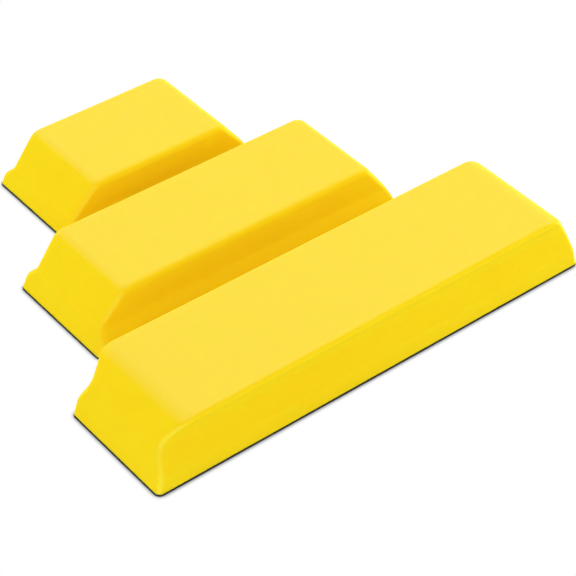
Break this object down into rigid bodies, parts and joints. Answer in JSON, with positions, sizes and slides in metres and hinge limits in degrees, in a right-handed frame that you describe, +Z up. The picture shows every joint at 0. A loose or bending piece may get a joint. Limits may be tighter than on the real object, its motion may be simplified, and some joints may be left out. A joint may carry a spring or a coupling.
{
  "type": "sanding block set",
  "caption": "Set of moulded foam hand sanding blocks with finger grooves, sloped ends and hook-faced bases that take loop-backed abrasive strips.",
  "frame": {"origin": "on the table, under the middle of the set's outline", "axes": "+X along the blocks, +Y from the long block to the short one, +Z up from the table"},
  "size_m": [0.2758, 0.2418, 0.0379],
  "materials": {
    "foam": "satin moulded skin on firm yellow polyurethane foam",
    "glue": "thin amber hot-melt film",
    "hook": "matt black hook tape"
  },
  "bodies": {
    "long_block": {"long_foam_body": "foam", "long_glue_film": "glue", "long_hook_pad": "hook"},
    "medium_block": {"medium_foam_body": "foam", "medium_glue_film": "glue", "medium_hook_pad": "hook"},
    "short_block": {"short_foam_body": "foam", "short_glue_film": "glue", "short_hook_pad": "hook"}
  },
  "joints": [
    {"name": "medium_lift", "type": "slide", "parent": "long_block", "child": "medium_block", "axis": [0, 0, 1], "range_m": [0, 0.12]},
    {"name": "short_lift", "type": "slide", "parent": "long_block", "child": "short_block", "axis": [0, 0, 1], "range_m": [0, 0.12]}
  ]
}
